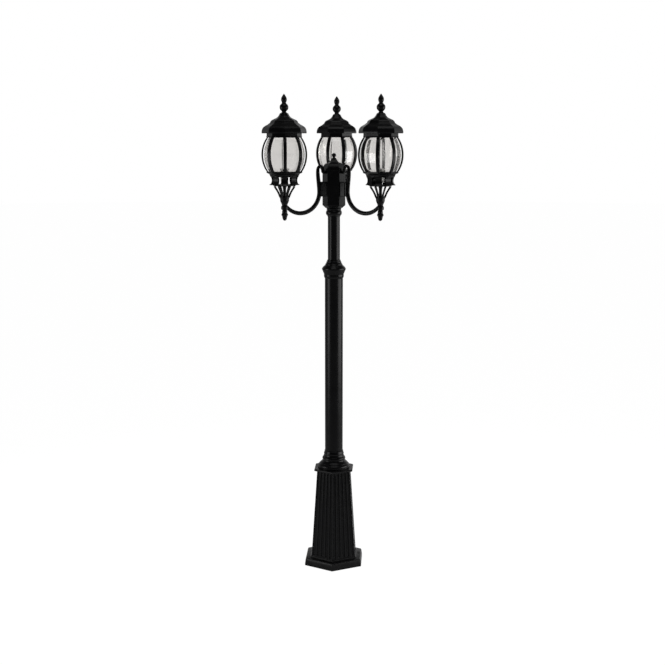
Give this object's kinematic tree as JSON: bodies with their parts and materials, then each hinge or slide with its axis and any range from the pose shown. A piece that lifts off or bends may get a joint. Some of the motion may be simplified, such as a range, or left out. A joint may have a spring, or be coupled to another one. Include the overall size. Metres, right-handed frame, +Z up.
{
  "type": "lamp post",
  "caption": "Black garden lamp post with a fluted hexagonal base, a stepped pole and eight-sided glass lanterns on S-shaped arms around a hexagonal hub.",
  "frame": {"origin": "centre of the base on the floor, on the axis of the pole and of the ground bolt circle", "axes": "+Z up along the pole; +Y from the front corner of the base to the back, under the rear arm; +X to the right seen from the front"},
  "size_m": [0.6134, 0.553, 2.1303],
  "materials": {
    "black_coat": "satin",
    "clear_glass": "polished",
    "white_porcelain": "gloss",
    "zinc_steel": "satin"
  },
  "bodies": {
    "post": {"anchor_plate": "zinc_steel", "base_plinth": "black_coat", "base_column": "black_coat", "base_cap": "black_coat", "base_collar": "black_coat", "lower_pole": "black_coat", "mid_collar": "black_coat", "upper_pole": "black_coat", "hub_collar": "black_coat", "hub_body": "black_coat", "tie_rod": "zinc_steel", "tie_nut": "zinc_steel", "bracket_screws": "zinc_steel", "left_arm": "black_coat", "left_bracket": "black_coat", "left_tail": "black_coat", "left_nipple": "zinc_steel", "left_cup": "black_coat", "left_gallery": "black_coat", "left_cage": "black_coat", "left_glass": "clear_glass", "left_lock_nut": "zinc_steel", "left_socket": "white_porcelain", "left_roof_bridge": "black_coat", "right_arm": "black_coat", "right_bracket": "black_coat", "right_tail": "black_coat", "right_nipple": "zinc_steel", "right_cup": "black_coat", "right_gallery": "black_coat", "right_cage": "black_coat", "right_glass": "clear_glass", "right_lock_nut": "zinc_steel", "right_socket": "white_porcelain", "right_roof_bridge": "black_coat", "rear_arm": "black_coat", "rear_bracket": "black_coat", "rear_tail": "black_coat", "rear_nipple": "zinc_steel", "rear_cup": "black_coat", "rear_gallery": "black_coat", "rear_cage": "black_coat", "rear_glass": "clear_glass", "rear_lock_nut": "zinc_steel", "rear_socket": "white_porcelain", "rear_roof_bridge": "black_coat"},
    "hub_cap": {"hub_cap": "black_coat"},
    "hub_finial": {"hub_finial": "black_coat"},
    "left_roof": {"left_roof": "black_coat"},
    "left_finial": {"left_finial": "black_coat"},
    "right_roof": {"right_roof": "black_coat"},
    "right_finial": {"right_finial": "black_coat"},
    "rear_roof": {"rear_roof": "black_coat"},
    "rear_finial": {"rear_finial": "black_coat"}
  },
  "joints": [
    {"name": "hub_cap_lift", "type": "slide", "parent": "post", "child": "hub_cap", "axis": [0, 0, 1], "range_m": [0, 0.09]},
    {"name": "hub_finial_turn", "type": "hinge", "parent": "hub_cap", "child": "hub_finial", "pos_m": [0, 0, 1.8533], "axis": [0, 0, 1], "continuous": true},
    {"name": "left_roof_lift", "type": "slide", "parent": "post", "child": "left_roof", "axis": [0, 0, 1], "range_m": [0, 0.13]},
    {"name": "left_finial_turn", "type": "hinge", "parent": "left_roof", "child": "left_finial", "pos_m": [-0.20785, -0.12, 2.0493], "axis": [0, 0, 1], "continuous": true},
    {"name": "right_roof_lift", "type": "slide", "parent": "post", "child": "right_roof", "axis": [0, 0, 1], "range_m": [0, 0.13]},
    {"name": "right_finial_turn", "type": "hinge", "parent": "right_roof", "child": "right_finial", "pos_m": [0.20785, -0.12, 2.0493], "axis": [0, 0, 1], "continuous": true},
    {"name": "rear_roof_lift", "type": "slide", "parent": "post", "child": "rear_roof", "axis": [0, 0, 1], "range_m": [0, 0.13]},
    {"name": "rear_finial_turn", "type": "hinge", "parent": "rear_roof", "child": "rear_finial", "pos_m": [0, 0.24, 2.0493], "axis": [0, 0, 1], "continuous": true}
  ]
}
